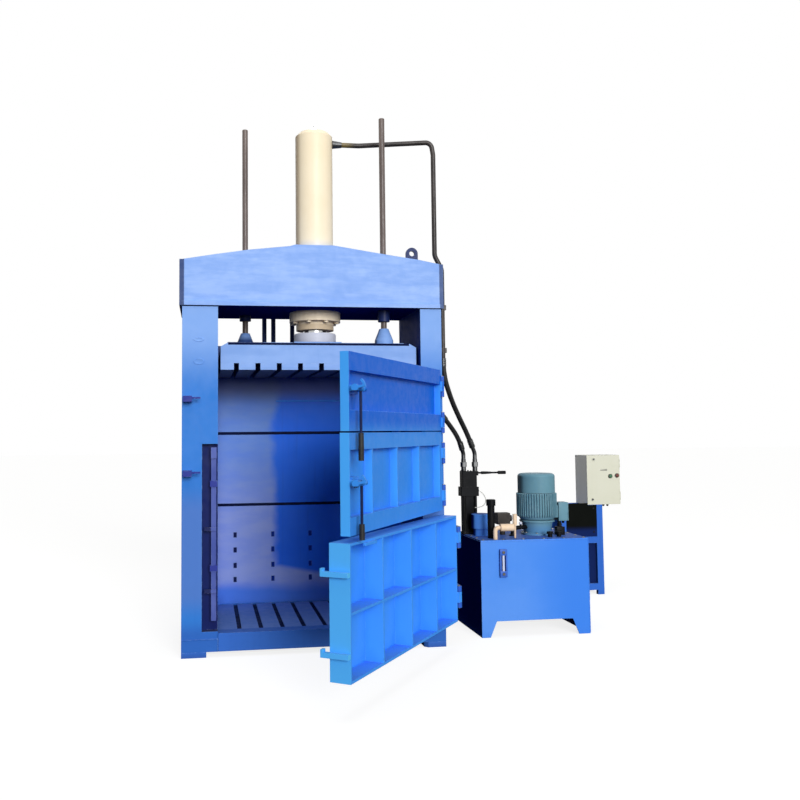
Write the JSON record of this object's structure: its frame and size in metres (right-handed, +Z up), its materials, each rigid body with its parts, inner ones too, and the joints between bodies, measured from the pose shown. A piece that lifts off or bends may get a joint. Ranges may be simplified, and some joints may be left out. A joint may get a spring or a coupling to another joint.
{
  "type": "vertical recycling baler",
  "caption": "Vertical down-stroke recycling baler with open front leaves, guided platen, overhead ram, separate oil power pack and free-standing control box.",
  "frame": {"origin": "on the floor at the centre of the press's four levelling-foot holes", "axes": "+X to the operator's right toward the power pack, +Y to the rear, +Z up"},
  "size_m": [3.934, 3.3746, 3.752],
  "materials": {
    "upper_blue": "gloss",
    "door_blue": "gloss",
    "inner_blue": "gloss",
    "cream_paint": "satin",
    "white_paint": "satin",
    "chrome_rod": "polished",
    "dark_rod": "satin",
    "bright_steel": "satin",
    "bronze": "satin",
    "black_paint": "satin",
    "hose_rubber": "matte",
    "grip_rubber": "matte",
    "lever_paint": "satin",
    "tank_blue": "gloss",
    "motor_teal": "satin",
    "cast_grey": "matte",
    "gauge_glass": "gloss",
    "panel_grey": "satin",
    "green_plastic": "gloss",
    "red_plastic": "gloss"
  },
  "bodies": {
    "press": {"base_frame": "inner_blue", "bellhousing": "motor_teal", "chamber_walls": "inner_blue", "columns": "upper_blue", "control_box": "cream_paint", "control_gear": "panel_grey", "control_stand": "tank_blue", "crosshead_base": "upper_blue", "crosshead_shell": "upper_blue", "cylinder_barrel": "cream_paint", "cylinder_eye": "bright_steel", "floor_slats": "inner_blue", "foot_pads": "black_paint", "gauge_riser": "white_paint", "gland": "cream_paint", "gland_bolts": "bright_steel", "hinge_brackets": "door_blue", "hinge_pins": "bright_steel", "hose_fittings": "bright_steel", "inner_hose": "hose_rubber", "latch_keepers": "door_blue", "level_gauge": "gauge_glass", "lid_caps": "black_paint", "lifting_lug": "upper_blue", "motor_body": "motor_teal", "motor_cowl": "motor_teal", "oil_pipes": "black_paint", "oil_pump": "cast_grey", "oil_tank": "tank_blue", "outer_hose": "hose_rubber", "rear_stiffeners": "inner_blue", "rear_struts": "upper_blue", "relief_valve": "cast_grey", "return_filter": "tank_blue", "return_pipe": "cream_paint", "rod_bushes": "bronze", "stand_panels": "black_paint", "tank_lid_plate": "tank_blue", "valve_body": "black_paint", "valve_stand": "black_paint"},
    "platen": {"platen_body": "inner_blue", "platen_bars": "inner_blue", "ram": "chrome_rod", "ram_flange": "white_paint", "guide_rods": "dark_rod"},
    "top_door": {"top_leaf": "door_blue"},
    "middle_door": {"middle_leaf": "door_blue"},
    "lower_door": {"lower_leaf": "door_blue"},
    "top_lever": {"top_latch_lever": "lever_paint", "top_lever_grip": "grip_rubber"},
    "middle_lever": {"middle_latch_lever": "lever_paint", "middle_lever_grip": "grip_rubber"},
    "bar": {"lock_bar": "bright_steel"},
    "valve_handle": {"valve_lever": "black_paint"},
    "rotor": {"motor_rotor": "cast_grey"},
    "box_door": {"box_door_leaf": "cream_paint"},
    "box_upper_lock": {"upper_lock": "bright_steel"},
    "box_lower_lock": {"lower_lock": "bright_steel"},
    "start_push": {"start_button": "green_plastic"},
    "stop_push": {"stop_button": "red_plastic"}
  },
  "joints": [
    {"name": "platen_slide", "type": "slide", "parent": "press", "child": "platen", "axis": [0, 0, -1], "range_m": [0, 0.9]},
    {"name": "top_door_hinge", "type": "hinge", "parent": "press", "child": "top_door", "pos_m": [0.88, -0.588, 1.694], "axis": [0, 0, 1], "range_deg": [-57.5, 62.5]},
    {"name": "middle_door_hinge", "type": "hinge", "parent": "press", "child": "middle_door", "pos_m": [0.88, -0.588, 1.208], "axis": [0, 0, 1], "range_deg": [-57.5, 62.5]},
    {"name": "lower_door_hinge", "type": "hinge", "parent": "press", "child": "lower_door", "pos_m": [0.958, -0.655, 0.554], "axis": [0, 0, 1], "range_deg": [-54.4, 65.6]},
    {"name": "top_lever_turn", "type": "hinge", "parent": "top_door", "child": "top_lever", "pos_m": [0.06165, -1.95072, 1.709], "axis": [-0.5373, -0.8434, 0], "range_deg": [0, 135]},
    {"name": "middle_lever_turn", "type": "hinge", "parent": "middle_door", "child": "middle_lever", "pos_m": [0.06165, -1.95072, 1.214], "axis": [-0.5373, -0.8434, 0], "range_deg": [0, 135]},
    {"name": "lock_bar_slide", "type": "slide", "parent": "press", "child": "bar", "axis": [0, 0, 1], "range_m": [-0.06, 0]},
    {"name": "valve_lever_tilt", "type": "hinge", "parent": "press", "child": "valve_handle", "pos_m": [1.332, 0.105, 1.156], "axis": [0, 1, 0], "range_deg": [-20, 20]},
    {"name": "motor_spin", "type": "hinge", "parent": "press", "child": "rotor", "pos_m": [1.77, -0.03, 0.9], "axis": [0, 0, 1], "continuous": true},
    {"name": "box_door_hinge", "type": "hinge", "parent": "press", "child": "box_door", "pos_m": [3.007, 1.078, 1.0275], "axis": [0, 0, 1], "range_deg": [0, 110]},
    {"name": "upper_lock_turn", "type": "hinge", "parent": "box_door", "child": "box_upper_lock", "pos_m": [2.755, 1.07, 1.215], "axis": [0, 1, 0], "range_deg": [0, 90]},
    {"name": "lower_lock_turn", "type": "hinge", "parent": "box_door", "child": "box_lower_lock", "pos_m": [2.737, 1.07, 0.852], "axis": [0, 1, 0], "range_deg": [0, 90]},
    {"name": "start_press", "type": "slide", "parent": "box_door", "child": "start_push", "axis": [0, 1, 0], "range_m": [0, 0.005], "stiffness_N_per_m": 600},
    {"name": "stop_press", "type": "slide", "parent": "box_door", "child": "stop_push", "axis": [0, 1, 0], "range_m": [0, 0.005], "stiffness_N_per_m": 600}
  ],
  "couplings": [
    {"joint": "top_door_hinge", "follows": "middle_door_hinge", "ratio": 1}
  ]
}
